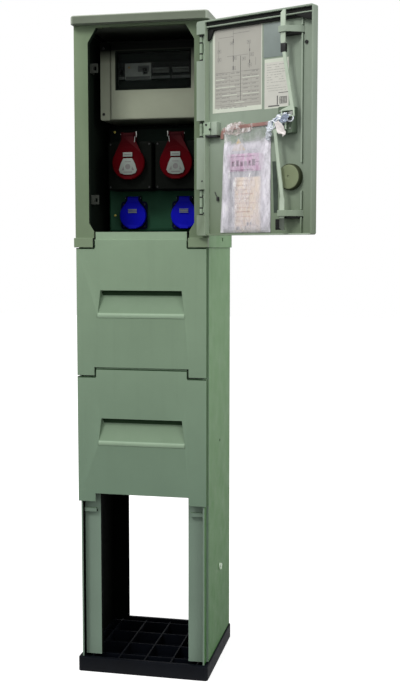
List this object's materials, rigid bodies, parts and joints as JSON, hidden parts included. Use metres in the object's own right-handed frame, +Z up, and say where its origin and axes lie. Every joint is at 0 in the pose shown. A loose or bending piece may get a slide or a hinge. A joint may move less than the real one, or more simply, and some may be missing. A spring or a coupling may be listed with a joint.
{
  "type": "construction site distribution board",
  "caption": "Free-standing cable pedestal with a door-fronted cabinet on top that holds switchgear behind a clear flap and lidded red and blue sockets.",
  "frame": {"origin": "centre of the base plate's underside, on the floor", "axes": "+Z up, -Y towards the front where the door and lift-off panels are, +X to the right of someone facing the front"},
  "size_m": [0.6236, 0.4788, 1.6655],
  "materials": {
    "body_green": "smooth moulded, slightly satin",
    "base_black": "dark, faintly worn",
    "galvanised": "zinc plated",
    "hinge_metal": "painted to match the body",
    "bolt_metal": "flat bar, dull",
    "inner_green": "smooth moulded",
    "device_grey": "smooth",
    "device_black": "smooth",
    "lever_black": "smooth",
    "clear_window": "smoked clear plastic",
    "socket_dark": "smooth",
    "socket_red": "smooth",
    "socket_blue": "smooth",
    "paper": "printed paper with plain bars and lines",
    "film": "thin creased film over paper"
  },
  "bodies": {
    "cabinet": {"base_plate": "base_black", "left_side_wall": "body_green", "right_side_wall": "body_green", "rear_panel": "body_green", "cable_rail": "galvanised", "housing_left_wall": "body_green", "housing_right_wall": "body_green", "housing_rear_wall": "body_green", "door_frame": "body_green", "roof_cap": "body_green", "cable_floor": "inner_green", "mounting_plate": "inner_green", "wall_brackets": "galvanised", "device_box": "device_grey", "device_cover": "device_grey", "din_rail": "galvanised", "single_pole_breaker": "device_black", "residual_current_device": "device_black", "three_pole_breaker_left": "device_black", "three_pole_breaker_right": "device_black", "socket_tray": "inner_green", "red_socket_box_left": "socket_dark", "red_socket_box_right": "socket_dark", "red_socket_collar_left": "socket_red", "red_socket_collar_right": "socket_red", "red_inserts": "device_black", "blue_socket_flange_left": "socket_blue", "blue_socket_flange_right": "socket_blue", "blue_inserts": "device_black", "lid_pins": "hinge_metal", "frame_hinge_leaves": "hinge_metal", "hinge_pins": "hinge_metal"},
    "door": {"door_panel": "body_green", "door_hinge_leaves": "hinge_metal", "lock_case": "inner_green", "rod_guides": "inner_green", "door_boss": "inner_green", "handle_escutcheon": "device_black", "circuit_sheet": "paper", "rating_sheet": "paper", "document_bag": "film"},
    "lock": {"lock_cam": "bolt_metal"},
    "handle": {"swing_handle": "device_black"},
    "upper_bolt": {"upper_rod": "bolt_metal"},
    "lower_bolt": {"lower_rod": "bolt_metal"},
    "flap": {"window_flap": "clear_window"},
    "single_pole_switch": {"single_pole_breaker_lever": "lever_black"},
    "residual_current_switch": {"residual_current_device_lever": "lever_black"},
    "left_three_pole_switch": {"three_pole_breaker_left_lever": "lever_black"},
    "right_three_pole_switch": {"three_pole_breaker_right_lever": "lever_black"},
    "test_key": {"test_button": "lever_black"},
    "red_cover_left": {"red_lid_left": "socket_red"},
    "red_cover_right": {"red_lid_right": "socket_red"},
    "blue_cover_left": {"blue_lid_left": "socket_blue"},
    "blue_cover_right": {"blue_lid_right": "socket_blue"},
    "lower_front": {"front_panel_lower": "body_green"},
    "upper_front": {"front_panel_upper": "body_green"}
  },
  "joints": [
    {"name": "door_hinge", "type": "hinge", "parent": "cabinet", "child": "door", "pos_m": [0.1565, -0.165, 1.381], "axis": [0, 0, 1], "range_deg": [-155, 15]},
    {"name": "lock_turn", "type": "hinge", "parent": "door", "child": "lock", "pos_m": [0.37417, -0.28857, 1.386], "axis": [-0.4226, -0.9063, 0], "range_deg": [0, 61]},
    {"name": "handle_swing", "type": "hinge", "parent": "lock", "child": "handle", "pos_m": [0.39234, -0.2496, 1.386], "axis": [0.9063, -0.4226, 0], "range_deg": [0, 50]},
    {"name": "upper_bolt_slide", "type": "slide", "parent": "door", "child": "upper_bolt", "axis": [0, 0, 1], "range_m": [0, 0.0132]},
    {"name": "lower_bolt_slide", "type": "slide", "parent": "door", "child": "lower_bolt", "axis": [0, 0, -1], "range_m": [0, 0.0132]},
    {"name": "window_flap_hinge", "type": "hinge", "parent": "cabinet", "child": "flap", "pos_m": [0, -0.025, 1.597], "axis": [-1, 0, 0], "range_deg": [0, 95]},
    {"name": "single_pole_lever", "type": "hinge", "parent": "cabinet", "child": "single_pole_switch", "pos_m": [-0.0875, -0.008, 1.552], "axis": [1, 0, 0], "range_deg": [0, 40]},
    {"name": "residual_current_lever", "type": "hinge", "parent": "cabinet", "child": "residual_current_switch", "pos_m": [-0.0245, -0.008, 1.552], "axis": [1, 0, 0], "range_deg": [0, 40]},
    {"name": "left_three_pole_lever", "type": "hinge", "parent": "cabinet", "child": "left_three_pole_switch", "pos_m": [0.0175, -0.008, 1.552], "axis": [1, 0, 0], "range_deg": [0, 40]},
    {"name": "right_three_pole_lever", "type": "hinge", "parent": "cabinet", "child": "right_three_pole_switch", "pos_m": [0.07, -0.008, 1.552], "axis": [1, 0, 0], "range_deg": [0, 40]},
    {"name": "test_key_press", "type": "slide", "parent": "cabinet", "child": "test_key", "axis": [0, 1, 0], "range_m": [0, 0.0015], "stiffness_N_per_m": 300, "springref_m": -0.001},
    {"name": "red_lid_left_hinge", "type": "hinge", "parent": "cabinet", "child": "red_cover_left", "pos_m": [-0.06325, -0.036, 1.389], "axis": [-1, 0, 0], "range_deg": [0, 95], "stiffness_Nm_per_rad": 0.06, "springref_deg": -20.05},
    {"name": "red_lid_right_hinge", "type": "hinge", "parent": "cabinet", "child": "red_cover_right", "pos_m": [0.06325, -0.036, 1.389], "axis": [-1, 0, 0], "range_deg": [0, 95], "stiffness_Nm_per_rad": 0.06, "springref_deg": -20.05},
    {"name": "blue_lid_left_hinge", "type": "hinge", "parent": "cabinet", "child": "blue_cover_left", "pos_m": [-0.07, 0.028, 1.228], "axis": [-1, 0, 0], "range_deg": [0, 95], "stiffness_Nm_per_rad": 0.04, "springref_deg": -20.05},
    {"name": "blue_lid_right_hinge", "type": "hinge", "parent": "cabinet", "child": "blue_cover_right", "pos_m": [0.07, 0.028, 1.228], "axis": [-1, 0, 0], "range_deg": [0, 95], "stiffness_Nm_per_rad": 0.04, "springref_deg": -20.05},
    {"name": "lower_front_lift", "type": "slide", "parent": "cabinet", "child": "lower_front", "axis": [0, 0, 1], "range_m": [0, 0.01]},
    {"name": "upper_front_lift", "type": "slide", "parent": "lower_front", "child": "upper_front", "axis": [0, 0, 1], "range_m": [0, 0.01]}
  ],
  "couplings": [
    {"joint": "upper_bolt_slide", "follows": "lock_turn", "m_per_rad": 0.012211},
    {"joint": "lower_bolt_slide", "follows": "lock_turn", "m_per_rad": 0.012211}
  ]
}
